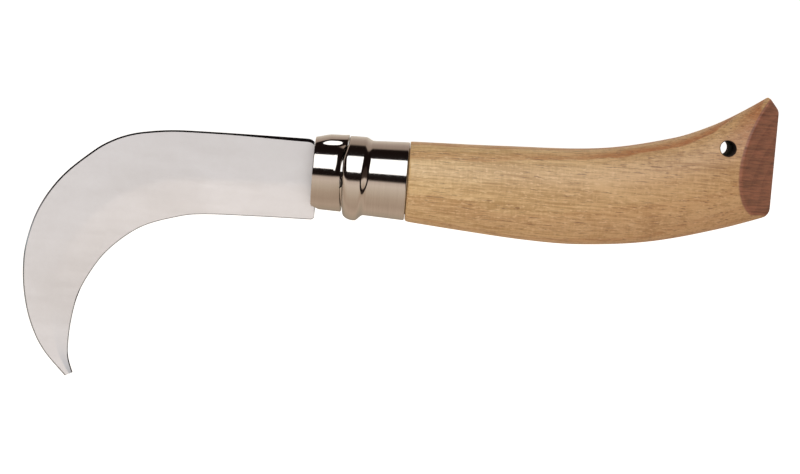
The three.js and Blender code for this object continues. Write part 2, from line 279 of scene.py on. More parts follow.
def drill_tool(name: str, place: CollarPlace, centre: tuple[float, float], radius: float) -> bpy.types.Object:
    """A cutter: a straight round bar through the whole width.

    Args:
        name: Name of the cutter.
        place: The collar's place.
        centre: X and Y of the bar's axis, in millimetres.
        radius: The bar's radius, in millimetres.

    Returns:
        The cutter.
    """
    a = np.linspace(0, 2 * np.pi, 96, endpoint=False)
    x, y = centre[0] + radius * np.cos(a), centre[1] + radius * np.sin(a)
    rows = np.stack([np.stack([x, y, np.full_like(a, z)], axis=-1) for z in (-DRILL_REACH, DRILL_REACH)])
    return grid_piece(name, place, rows, Ends.CAPPED)


# ---------------------------------------------------------------------------
# Node work
# ---------------------------------------------------------------------------


class Wiring:
    """Short ways to add and join shader nodes in one tree."""

    def __init__(self, tree: bpy.types.NodeTree) -> None:
        """Starts on an empty tree."""
        self.tree = tree
        tree.nodes.clear()

    def add(
        self, kind: str, inputs: dict[int | str, object] | None = None, **settings: object
    ) -> bpy.types.Node:
        """Adds a node.

        Args:
            kind: The node's type name.
            inputs: Values or sockets by input name or number.
            settings: Properties of the node.

        Returns:
            The node.
        """
        node = self.tree.nodes.new(kind)
        for key, value in settings.items():
            setattr(node, key, value)
        for key, value in (inputs or {}).items():
            self.put(node.inputs[key], value)
        return node

    def put(self, socket: bpy.types.NodeSocket, value: object) -> None:
        """Links a socket to an output, or sets its value.

        Args:
            socket: The socket to fill.
            value: An output to link, or a number, a vector, or a colour without its alpha.
        """
        if isinstance(value, bpy.types.NodeSocket):
            self.tree.links.new(value, socket)
        elif isinstance(value, tuple) and len(value) == 3 and socket.type == "RGBA":
            socket.default_value = (*value, 1.0)
        else:
            socket.default_value = value

    def math(self, operation: str, a: object, b: object = 0.0, c: object = 0.0) -> bpy.types.NodeSocket:
        """A Math node's result."""
        return self.add("ShaderNodeMath", {0: a, 1: b, 2: c}, operation=operation).outputs[0]

    def fade(
        self, value: object, low: float, high: float, to_low: float = 0.0, to_high: float = 1.0
    ) -> bpy.types.NodeSocket:
        """A value mapped from low and high to to_low and to_high, smoothly and clamped."""
        sockets = {0: value, 1: low, 2: high, 3: to_low, 4: to_high}
        return self.add("ShaderNodeMapRange", sockets, interpolation_type="SMOOTHSTEP").outputs[0]

    def blend(self, share: object, a: object, b: object, way: str = "MIX") -> bpy.types.NodeSocket:
        """Two colours mixed."""
        node = self.add("ShaderNodeMix", {0: share, 6: a, 7: b}, data_type="RGBA", blend_type=way)
        return node.outputs[2]

    def stretched(
        self, vector: object, scale: Triple, turn: Triple = (0.0, 0.0, 0.0), shift: Triple = (0.0, 0.0, 0.0)
    ) -> bpy.types.NodeSocket:
        """Coordinates scaled, turned by radians about X, Y and Z, and moved."""
        sockets = {"Vector": vector, "Scale": scale, "Rotation": turn, "Location": shift}
        return self.add("ShaderNodeMapping", sockets).outputs[0]

    def noise(
        self, vector: object, scale: float, detail: float = 3.0, rough: float = 0.5, bend: float = 0.0
    ) -> bpy.types.NodeSocket:
        """Noise's value, 0 to 1."""
        sockets = {"Vector": vector, "Scale": scale, "Detail": detail, "Roughness": rough, "Distortion": bend}
        return self.add("ShaderNodeTexNoise", sockets).outputs[0]


def new_group(
    name: str, inputs: dict[str, tuple[str, object]], outputs: dict[str, str]
) -> tuple[bpy.types.NodeTree, Wiring, bpy.types.Node, bpy.types.Node]:
    """A shader node group with its sockets.

    Args:
        name: The group's name.
        inputs: Socket kind and default by name.
        outputs: Socket kind by name.

    Returns:
        The group, its wiring, its input node and its output node.
    """
    group = bpy.data.node_groups.new(name, "ShaderNodeTree")
    for label, (kind, value) in inputs.items():
        socket = group.interface.new_socket(label, in_out="INPUT", socket_type=kind)
        if value is not None:
            socket.default_value = value
    for label, kind in outputs.items():
        group.interface.new_socket(label, in_out="OUTPUT", socket_type=kind)
    wiring = Wiring(group)
    return group, wiring, wiring.add("NodeGroupInput"), wiring.add("NodeGroupOutput")


def hairlines_group() -> bpy.types.NodeTree:
    """Fine lines left by polishing or turning, with a few longer stray scratches.

    Returns:
        Group with inputs Vector, Lines and Stray, and outputs Height and Wear.
    """
    if "Hairlines" in bpy.data.node_groups:
        return bpy.data.node_groups["Hairlines"]
    group, w, given, out = new_group(
        "Hairlines",
        {
            "Vector": ("NodeSocketVector", None),
            "Lines": ("NodeSocketFloat", 1.0),
            "Stray": ("NodeSocketFloat", 0.3),
        },
        {"Height": "NodeSocketFloat", "Wear": "NodeSocketFloat"},
    )
    lines = w.noise(given.outputs["Vector"], 1.0, 2.0, 0.6)
    stray_at = w.stretched(given.outputs["Vector"], (0.11, 0.31, 0.2), (0.2, 0.4, 0.7))
    stray = w.fade(w.noise(stray_at, 1.3, 2.0, 0.7, 0.3), 0.62, 0.74)
    lined = w.math("MULTIPLY", lines, given.outputs["Lines"])
    strayed = w.math("MULTIPLY", stray, given.outputs["Stray"])
    w.put(out.inputs["Height"], w.math("SUBTRACT", lined, strayed))
    w.put(out.inputs["Wear"], w.math("MULTIPLY_ADD", stray, given.outputs["Stray"], lined))
    return group


def clouding_group() -> bpy.types.NodeTree:
    """Soft uneven patches, such as handling leaves on steel and growth leaves in wood.

    Returns:
        Group with inputs Vector, Size and Amount, and output Patch, centred on 0.
    """
    if "Clouding" in bpy.data.node_groups:
        return bpy.data.node_groups["Clouding"]
    group, w, given, out = new_group(
        "Clouding",
        {
            "Vector": ("NodeSocketVector", None),
            "Size": ("NodeSocketFloat", 100.0),
            "Amount": ("NodeSocketFloat", 0.1),
        },
        {"Patch": "NodeSocketFloat"},
    )
    noise = w.noise(given.outputs["Vector"], given.outputs["Size"], 4.0, 0.55, 0.4)
    centred = w.math("SUBTRACT", noise, 0.5)
    w.put(out.inputs["Patch"], w.math("MULTIPLY", centred, given.outputs["Amount"]))
    return group


def new_material(name: str) -> tuple[bpy.types.Material, Wiring, bpy.types.Node, bpy.types.NodeSocket]:
    """A material with a Principled shader and Object coordinates ready.

    Args:
        name: The material's name.

    Returns:
        The material, its wiring, its shader and the Object coordinate socket.
    """
    material = bpy.data.materials.new(name)
    material.use_nodes = True
    w = Wiring(material.node_tree)
    shader = w.add("ShaderNodeBsdfPrincipled")
    output = w.add("ShaderNodeOutputMaterial", {"Surface": shader.outputs[0]})
    output.is_active_output = True
    place = w.add("ShaderNodeTexCoord").outputs["Object"]
    return material, w, shader, place


# ---------------------------------------------------------------------------
# Finishes
# ---------------------------------------------------------------------------


@dataclass(frozen=True)
class SteelFinish:
    """Bare stainless steel, from satin to polished.

    The lines run along the direction in which line_scale is small.
    """

    name: str
    colour: Triple
    tint: Triple
    roughness: float
    roughness_spread: float
    line_scale: Triple
    line_depth: float
    stray: float = 0.3
    clouding: float = 0.2
    line_contrast: float = 0.0
    cloud_size: float = 130.0
    speck_size: float = 900.0
    broad_size: float = 34.0
    least_roughness: float = 0.03
    bevel_roughness: float | None = None
    # painted dark reflection on the bevels of the spine and the edge
    painted_bevel_reflection: Triple = (0.46, 0.56, 0.68)
    bevel_facing: tuple[float, float] = (0.84, 0.93)

    def material(self) -> bpy.types.Material:
        """Builds the steel: two tones shared out by clouds, specks and polishing lines.

        Returns:
            The material.
        """
        material, w, shader, place = new_material(self.name)
        lines = w.add("ShaderNodeGroup", node_tree=hairlines_group())
        w.put(lines.inputs["Vector"], w.stretched(place, self.line_scale))
        lines.inputs["Lines"].default_value = 1.0
        lines.inputs["Stray"].default_value = self.stray
        wear = w.math("SUBTRACT", lines.outputs["Wear"], 0.5)
        clouds = w.add("ShaderNodeGroup", node_tree=clouding_group())
        w.put(clouds.inputs["Vector"], place)
        clouds.inputs["Size"].default_value = self.cloud_size
        clouds.inputs["Amount"].default_value = self.clouding
        speck = w.math("SUBTRACT", w.noise(place, self.speck_size, 3.0, 0.6), 0.5)
        patch = w.math("ADD", clouds.outputs["Patch"], w.math("MULTIPLY", speck, 0.5 * self.clouding))
        shifted = w.stretched(place, (1.0, 1.0, 1.0), shift=(0.013, 0.021, 0.0))
        broad = w.math("SUBTRACT", w.noise(shifted, self.broad_size, 1.0, 0.4), 0.5)
        share = w.math("ADD", w.math("MULTIPLY_ADD", broad, 3.0 * self.clouding, 0.5), patch)
        share = w.math("MULTIPLY_ADD", wear, self.line_contrast, share)
        colour = w.blend(share, self.colour, self.tint)
        spread = w.math("MULTIPLY", wear, self.roughness_spread)
        uneven = w.math("ADD", spread, w.math("MULTIPLY", patch, self.roughness_spread))
        rough = w.math("ADD", uneven, self.roughness)
        if self.bevel_roughness is not None:
            # the bevels are left as the fine wheel ground them, smoother than the flats; their darker, bluer
            # colour is painted: a dark reflection along the spine and the edge
            normal = w.add("ShaderNodeTexCoord").outputs["Normal"]
            facing = w.add("ShaderNodeSeparateXYZ", {0: normal}).outputs[2]
            flat = w.fade(w.math("ABSOLUTE", facing), *self.bevel_facing)
            rougher = w.math("SUBTRACT", rough, self.bevel_roughness)
            rough = w.math("MULTIPLY_ADD", rougher, flat, self.bevel_roughness)
            colour = w.blend(flat, self.painted_bevel_reflection, colour)
        w.put(shader.inputs["Base Color"], colour)
        w.put(shader.inputs["Roughness"], w.math("MAXIMUM", rough, self.least_roughness))
        shader.inputs["Metallic"].default_value = 1.0
        height = {"Strength": 1.0, "Distance": self.line_depth, "Height": lines.outputs["Height"]}
        w.put(shader.inputs["Normal"], w.add("ShaderNodeBump", height).outputs[0])
        return material


@dataclass(frozen=True)
class BeechFinish:
    """Varnished beech: pale tan with growth rings, fine long grain, short dark flecks and dark end grain.

    The growth rings are cylinders along the handle about a pith that lies below it, so they are
    broad on the side that faces up and close together towards its edges.
    """

    name: str = "beech"
    pale: Triple = (0.690, 0.470, 0.240)
    tan: Triple = (0.465, 0.275, 0.115)
    late: Triple = (0.440, 0.170, 0.056)
    fleck: Triple = (0.21, 0.090, 0.036)
    ray: Triple = (0.80, 0.58, 0.33)
    end_grain: Triple = (0.310, 0.115, 0.066)
    # painted light by the collar and painted shade at the tail, multiplied into the wood's colour
    painted_light_by_collar: Triple = (1.22, 1.26, 1.22)
    painted_shade_by_tail: Triple = (1.00, 0.91, 0.84)
    # painted shade colour for the lanyard hole's wall and the neck inside the ferrule
    painted_shade: Triple = (0.02, 0.009, 0.006)
    ring_width: float = 0.0032
    pith: tuple[float, float] = (0.0, 0.0)
    tail_x: float = 0.0
    tail_slope: float = 1.07
    middle_z: float = 0.0
    neck_x: float = 0.0
    hole: Triple = (0.0, 0.0, 0.002)
    roughness: float = 0.42
    facet_roughness: float = 0.15
    coat: float = 0.32
    coat_roughness: float = 0.35
    pore_depth: float = 0.00006

    def rings(
        self, w: Wiring, place: bpy.types.NodeSocket, y: object, z: object
    ) -> tuple[bpy.types.NodeSocket, bpy.types.NodeSocket]:
        """Growth rings about the pith.

        Args:
            w: The material's wiring.
            place: Object coordinates.
            y: Their Y.
            z: Their Z.

        Returns:
            Late wood, 0 in early wood, rising to 1 and dropping fast at each ring's end, and how
            far round the pith a place lies to the side, as a sine.
        """
        wander = w.noise(w.stretched(place, (14.0, 55.0, 55.0)), 1.0, 3.0, 0.5)
        out_y = w.math("POWER", w.math("SUBTRACT", y, self.pith[0]), 2.0)
        out_z = w.math("POWER", w.math("SUBTRACT", z, self.pith[1]), 2.0)
        radius = w.math("SQRT", w.math("ADD", out_y, out_z))
        turn = w.math("MULTIPLY_ADD", wander, 2.0, w.math("MULTIPLY", radius, 1 / self.ring_width))
        share = w.math("FRACT", turn)
        late = w.math("MULTIPLY", w.fade(share, 0.25, 0.93), w.fade(share, 0.93, 1.0, 1.0, 0.0))
        return late, w.math("DIVIDE", w.math("ABSOLUTE", w.math("SUBTRACT", y, self.pith[0])), radius)

    def painted_shade_places(self, w: Wiring, x: object, y: object) -> bpy.types.NodeSocket:
        """Mask of painted shade: the drilled wall of the lanyard hole and the neck inside the ferrule.

        Args:
            w: The material's wiring.
            x: The Object coordinates' X.
            y: Their Y.

        Returns:
            1 on the wall and the neck, 0 elsewhere.
        """
        # painted shade: the bore's wall and the neck just inside the ferrule are darkened where shade falls
        # in them
        hole_x, hole_y, radius = self.hole
        from_x = w.math("POWER", w.math("SUBTRACT", x, hole_x), 2.0)
        from_y = w.math("POWER", w.math("SUBTRACT", y, hole_y), 2.0)
        away = w.math("SQRT", w.math("ADD", from_x, from_y))
        shaded_bore = w.fade(away, radius + 0.08 * MM, radius + 0.3 * MM, 1.0, 0.0)
        return w.math("MAXIMUM", shaded_bore, w.fade(x, self.neck_x - 0.2 * MM, self.neck_x, 1.0, 0.0))

    def material(self) -> bpy.types.Material:
        """Builds the beech: grain, then rings, flecks and rays, then the facets and the painted shade in the
        hole and at the neck.

        Returns:
            The material.
        """
        material, w, shader, place = new_material(self.name)
        x, y, z = w.add("ShaderNodeSeparateXYZ", {0: place}).outputs
        late, aside = self.rings(w, place, y, z)
        long_at = w.stretched(place, (20.0, 1700.0, 1700.0))
        long_grain = w.noise(long_at, 1.0, 4.0, 0.7, 0.15)
        short_at = w.stretched(place, (130.0, 1500.0, 1500.0), shift=(2.0, 5.0, 1.0))
        short_grain = w.noise(short_at, 1.0, 4.0, 0.7, 0.3)
        cross = w.noise(w.stretched(place, (1700.0, 330.0, 330.0)), 1.0, 2.0, 0.6, 0.2)
        clouds = w.add("ShaderNodeGroup", node_tree=clouding_group())
        w.put(clouds.inputs["Vector"], w.stretched(place, (0.3, 1.0, 1.0)))
        clouds.inputs["Size"].default_value = 90.0
        clouds.inputs["Amount"].default_value = 0.6
        patch = clouds.outputs["Patch"]
        tone = w.math("MULTIPLY_ADD", long_grain, 0.95, w.math("MULTIPLY", short_grain, 0.75))
        tone = w.math("ADD", w.math("MULTIPLY_ADD", cross, 0.28, tone), patch)
        colour = w.blend(w.fade(tone, 0.80, 1.20), self.pale, self.tan)
        # the rings show most where the surface cuts them steeply, to the side of the pith
        turned = w.fade(aside, 0.14, 0.38, 0.2, 1.0)
        lateness = w.math("MULTIPLY", late, w.fade(w.math("ADD", short_grain, patch), 0.25, 0.6, 0.5, 1.0))
        lateness = w.math("MULTIPLY", lateness, turned)
        colour = w.blend(lateness, colour, self.late)
        fleck_cells = w.noise(w.stretched(place, (230.0, 2600.0, 2600.0)), 1.0, 2.0, 0.6, 0.25)
        many = w.math("MULTIPLY_ADD", w.fade(aside, 0.1, 0.3), 0.04, w.math("MULTIPLY", late, 0.03))
        flecks = w.fade(w.math("ADD", fleck_cells, many), 0.60, 0.72)
        colour = w.blend(w.math("MULTIPLY", flecks, 0.7), colour, self.fleck)
        ray_at = w.stretched(place, (600.0, 1900.0, 1900.0), shift=(3.1, 7.7, 1.9))
        ray_cells = w.noise(ray_at, 1.0, 2.0, 0.6, 0.3)
        rays = w.math("MULTIPLY", w.fade(ray_cells, 0.53, 0.70), w.fade(aside, 0.12, 0.35, 0.65, 0.25))
        colour = w.blend(rays, colour, self.ray)
        # painted light and shade: the wood is brightened by the collar and darkened, a little redder, towards
        # the tail, a slope along the handle standing in for how the light falls
        length = self.tail_x - self.neck_x
        along = w.fade(x, self.neck_x - 0.1 * length, self.neck_x + 0.95 * length)
        colour = w.blend(1.0, colour, w.blend(along, self.painted_light_by_collar, self.painted_shade_by_tail), "MULTIPLY")
        # the tail's two facets show end grain, streaked along the rings
        across = w.math("ABSOLUTE", w.math("SUBTRACT", z, self.middle_z))
        reach = w.math("MULTIPLY_ADD", across, self.tail_slope, x)
        facet = w.fade(reach, self.tail_x - 0.9 * MM, self.tail_x - 0.3 * MM)
        end_lines = w.noise(w.stretched(place, (130.0, 1500.0, 130.0)), 1.0, 3.0, 0.65, 0.2)
        level = w.math("MULTIPLY_ADD", late, -0.14, w.fade(end_lines, 0.3, 0.7, 0.66, 1.42))
        end_tone = w.add("ShaderNodeCombineColor", {0: level, 1: level, 2: level}).outputs[0]
        end = w.blend(1.0, self.end_grain, end_tone, "MULTIPLY")
        colour = w.blend(w.math("MULTIPLY", facet, 0.93), colour, end)
        # painted shade: the hole's wall and the neck are coloured nearly black, and lose their coat and gloss
        # there
        dark = self.painted_shade_places(w, x, y)
        colour = w.blend(dark, colour, self.painted_shade)
        w.put(shader.inputs["Base Color"], colour)
        rough = w.math("MULTIPLY_ADD", w.math("SUBTRACT", short_grain, 0.5), 0.3, self.roughness)
        rough = w.math("MULTIPLY_ADD", facet, self.facet_roughness, rough)
        w.put(shader.inputs["Roughness"], w.math("MAXIMUM", rough, w.math("MULTIPLY", dark, 0.95)))
        w.put(shader.inputs["Coat Weight"], w.math("MULTIPLY_ADD", dark, -self.coat, self.coat))
        shader.inputs["Coat Roughness"].default_value = self.coat_roughness
        pores = w.math("SUBTRACT", w.math("MULTIPLY", tone, 0.5), w.math("MULTIPLY", flecks, 0.6))
        height = {"Strength": 0.7, "Distance": self.pore_depth, "Height": pores}
        w.put(shader.inputs["Normal"], w.add("ShaderNodeBump", height).outputs[0])
        return material


# ---------------------------------------------------------------------------
# The tool's sub-assemblies
# ---------------------------------------------------------------------------


@dataclass(frozen=True)
class Pivot:
    """The rivet that the blade turns on, in the collar's frame."""

    x: float = 6.8
    y: float = -1.5
    radius: float = 1.75
    half_length: float = 8.0
    play: float = 0.08
    head: Pairs = ((0.0, 0.55), (0.07, 0.3), (0.3, 0.14), (0.75, 0.04), (1.73, 0.0))

    def build(self, place: CollarPlace) -> bpy.types.Object:
        """Makes the rivet: circles of a chamfered, slightly domed profile stacked along Z.

        The profile of a head is given by how far each point lies inside the radius and how far
        short of the rivet's end.

        Args:
            place: The collar's place.

        Returns:
            The rivet.
        """
        inset, short = np.array(self.head)[::-1].T
        half = np.stack([self.radius - inset, short - self.half_length], axis=-1)
        profile = np.vstack([half, half[::-1] * [1, -1]])
        a = np.linspace(0, 2 * np.pi, 64, endpoint=False)
        radius, z = profile[:, :1], profile[:, 1:]
        rows = np.stack([self.x + radius * np.cos(a), self.y + radius * np.sin(a), z + 0 * a], axis=-1)
        pin = grid_piece("rivet", place, rows, Ends.CAPPED)
        finish = SteelFinish(
            name="turned_steel",
            colour=(0.60, 0.59, 0.58),
            tint=(0.50, 0.49, 0.47),
            roughness=0.3,
            roughness_spread=0.15,
            line_scale=(900.0, 900.0, 60.0),
            line_depth=4e-6,
        )
        pin.data.materials.append(finish.material())
        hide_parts("pivot_pin")
        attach(pin, "grip")
        return pin

    def drill(self, name: str, place: CollarPlace) -> bpy.types.Object:
        """A cutter for the rivet's hole, with its play."""
        return drill_tool(name, place, (self.x, self.y), self.radius + self.play)


def arc(centre: tuple[float, float], radius: float, start: float, end: float, count: int) -> np.ndarray:
    """Points on a circle between two angles in degrees."""
    a = np.radians(np.linspace(start, end, count))
    return np.stack([centre[0] + radius * np.cos(a), centre[1] + radius * np.sin(a)], axis=-1)


def straight(start: tuple[float, float], end: tuple[float, float], count: int) -> np.ndarray:
    """Points on a line, without its first."""
    return np.linspace(start, end, count + 1)[1:]


@dataclass(frozen=True)
class Blade:
    """The hooked blade with its heel and tang, worked as one plate of varying thickness.

    Its two outlines are given from the shoulder to the tip, in shares of reach and height.
    """

    reach: float = 78.4
    height: float = 71.6
    spine_y: float = 9.6
    thickness: float = 1.9
    tip_share: float = 0.7
    spine_bevel: float = 0.5
    heel_bevel: float = 0.9
    tang_bevel: float = 0.2
    edge_bevel: float = 0.25
    tang_edge: float = 0.15
    grind_start: float = 0.56
    grind_ease: float = 0.12
    edge_half: float = 0.3
    shoulder_x: float = -0.3
    shoulder_y: float = 3.4
    corner_ease: float = 1.1
    heel_x: float = 1.2
    heel_y: float = -8.7
    heel_round: float = 1.0
    tang_radius: float = 6.0
    stations: int = 260
    spine: Pairs = (
        (0.004, 0.0105), (0.02, 0.0015), (0.06, 0.0008), (0.242, 0.003), (0.428, 0.007), (0.51, 0.0112),
        (0.582, 0.0215), (0.65, 0.0375), (0.715, 0.0664), (0.781, 0.114), (0.887, 0.223), (0.96, 0.35),
        (0.997, 0.49), (1.001, 0.609), (0.984, 0.728), (0.951, 0.83), (0.904, 0.913), (0.826, 1),
    )
    edge: Pairs = (
        (0.003, 0.313), (0.191, 0.318), (0.389, 0.328), (0.487, 0.351), (0.58, 0.388), (0.651, 0.44),
        (0.721, 0.517), (0.774, 0.612), (0.802, 0.689), (0.817, 0.779), (0.822, 0.862), (0.818, 0.927),
        (0.799, 0.985),
    )

    def line(self, shares: Pairs) -> np.ndarray:
        """One outline of the blade, from the tip to the shoulder, in millimetres."""
        points = [(-u * self.reach, self.spine_y - v * self.height) for u, v in shares]
        return even_path(points, self.stations)[::-1]

    def outlines(self) -> tuple[np.ndarray, np.ndarray, np.ndarray]:
        """Upper and lower outline of the plate, tip to tang.

        The blade's part follows the two smooth outlines. Behind the shoulder the upper outline
        drops down the stop face and runs onto the tang's circle, and the lower one goes round the
        heel and onto the same circle.

        Returns:
            Upper points, lower points, and 1 on the blade falling to 0 on the tang.
        """
        upper, lower = self.line(self.spine), self.line(self.edge)
        pivot = Pivot()
        centre = (pivot.x, pivot.y)
        eased = (self.shoulder_x, self.spine_y - self.corner_ease)
        shoulder = (self.shoulder_x, self.shoulder_y)
        top = [
            upper,
            straight(upper[-1], eased, 2),
            straight(eased, shoulder, 20),
            straight(shoulder, (pivot.x, pivot.y + self.tang_radius), 20),
            arc(centre, self.tang_radius, 90, 14, 18)[1:],
        ]
        heel = (self.heel_x - self.heel_round, lower[-1][1] + self.heel_round)
        corner = (self.heel_x, self.heel_y)
        bottom = [
            lower,
            arc(heel, self.heel_round, -90, 0, 14),
            straight((self.heel_x, heel[1]), corner, 8),
            straight(corner, (pivot.x, pivot.y - self.tang_radius), 20),
            arc(centre, self.tang_radius, -90, -14, 18)[1:],
        ]
        under = np.vstack(bottom)
        ground = 1 - smooth(under[:, 0], self.heel_x + 0.05, self.heel_x + 3.0)
        return np.vstack(top), under, ground

    def surface(self) -> np.ndarray:
        """Both sides of the blade as one loop at each station.

        At a station the width runs from the upper outline to the lower. The half thickness is the
        plate's own half, thinned towards the tip, less a bevel at the spine that falls as fast as
        it goes in, less the grind, which grows as (1 + e) t^2 / (t + e) towards the edge, less the
        last fine bevel at the edge.

        Returns:
            Array of shape (stations, loop points, 3), in millimetres.
        """
        top, bottom, ground = self.outlines()
        width = np.linalg.norm(bottom - top, axis=1)[:, None]
        g = ground[:, None]
        bevel = self.spine_bevel + (self.heel_bevel - self.spine_bevel) * smooth(top[:, :1], -26.0, -3.0)
        bevel = np.minimum(self.tang_bevel + (bevel - self.tang_bevel) * g, 0.2 * width)
        edge = np.minimum(self.tang_edge + (self.edge_bevel - self.tang_edge) * g, 0.12 * width)
        near = bevel * np.array([[0, 0.04, 0.35, 0.68, 1.0, 1.12]])
        close = edge * np.array([[1.15, 1.0, 0.6, 0.2, 0.0]])
        middle = np.linspace(0, 1, 34)[None, 1:-1]
        between = near[:, -1:] + (width - near[:, -1:] - close[:, :1]) * middle
        away = np.concatenate([near, between, width - close], axis=1)
        share = away / width
        at = top[:, None, :] + (bottom - top)[:, None, :] * share[..., None]
        along = np.linspace(0, 1, self.stations)[::-1]
        thinned = 1 - (1 - self.tip_share) * smooth(along, 0.35, 1.0)
        half = self.thickness / 2 * np.concatenate([thinned, np.ones(len(top) - self.stations)])[:, None]
        t = np.clip((share - self.grind_start) / (1 - self.grind_start), 0, 1)
        z = half - g * (half - self.edge_half) * (1 + self.grind_ease) * t * t / (t + self.grind_ease)
        z = z - np.clip(bevel - away, 0, None) * np.where(g > 0.5, 1.0, 0.6)
        z = z - np.clip(edge - (width - away), 0, None) * np.minimum(1.0, 0.8 * z / edge)
        side = np.concatenate([at, z[..., None]], axis=-1)
        other = side[:, ::-1] * [1, 1, -1]
        return np.concatenate([side, other], axis=1)

    def build(self, place: CollarPlace) -> bpy.types.Object:
        """Makes and dresses the blade.

        Args:
            place: The collar's place.

        Returns:
            The blade.
        """
        blade = grid_piece("hooked_blade", place, self.surface(), Ends.CAPPED)
        cut_away(blade, Pivot().drill("tang_drill", place))
        crisp(blade, 40.0)
        finish = SteelFinish(
            name="satin_steel",
            colour=(0.80, 0.81, 0.845),
            tint=(0.70, 0.695, 0.705),
            roughness=0.40,
            roughness_spread=0.10,
            line_scale=(60.0, 420.0, 420.0),
            line_depth=1.5e-6,
            stray=0.25,
            clouding=0.5,
            bevel_roughness=0.14,
        )
        blade.data.materials.clear()
        blade.data.materials.append(finish.material())
        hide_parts("blade")
        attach(blade, "blade")
        return blade


@dataclass(frozen=True)
class Slot:
    """The saw slot that the blade shuts into, open at the belly."""

    width: float = 2.6
    roof_y: float = 5.2
    middle_y: float = 7.2
    rear_y: float = 15.6
    rear_radius: float = 95.6

    def outline(self) -> np.ndarray:
        """Outline of the slot in the blade's plane: roof on a smooth curve, rear end round the pivot.

        Returns:
            Array of shape (points, 2), in millimetres; its open side lies well below the belly.
        """
        pivot = Pivot()
        rear_x = pivot.x + np.sqrt(self.rear_radius**2 - (self.rear_y - pivot.y) ** 2)
        front_x = pivot.x + 14
        roof = even_path(
            [(front_x, self.roof_y), ((front_x + rear_x) / 2, self.middle_y), (rear_x, self.rear_y)], 40
        )
        top = np.arcsin((self.rear_y - pivot.y) / self.rear_radius)
        low = np.arcsin((-20 - pivot.y) / self.rear_radius)
        a = np.linspace(top, low, 24)[1:]
        rear_y = pivot.y + self.rear_radius * np.sin(a)
        rear = np.stack([pivot.x + self.rear_radius * np.cos(a), rear_y], axis=-1)
        return np.vstack([[(-2, -20), (-2, self.roof_y)], roof, rear])

    def tool(self, place: CollarPlace) -> bpy.types.Object:
        """The slot as a cutter."""
        return plate_tool("slot_saw", place, self.outline(), self.width)


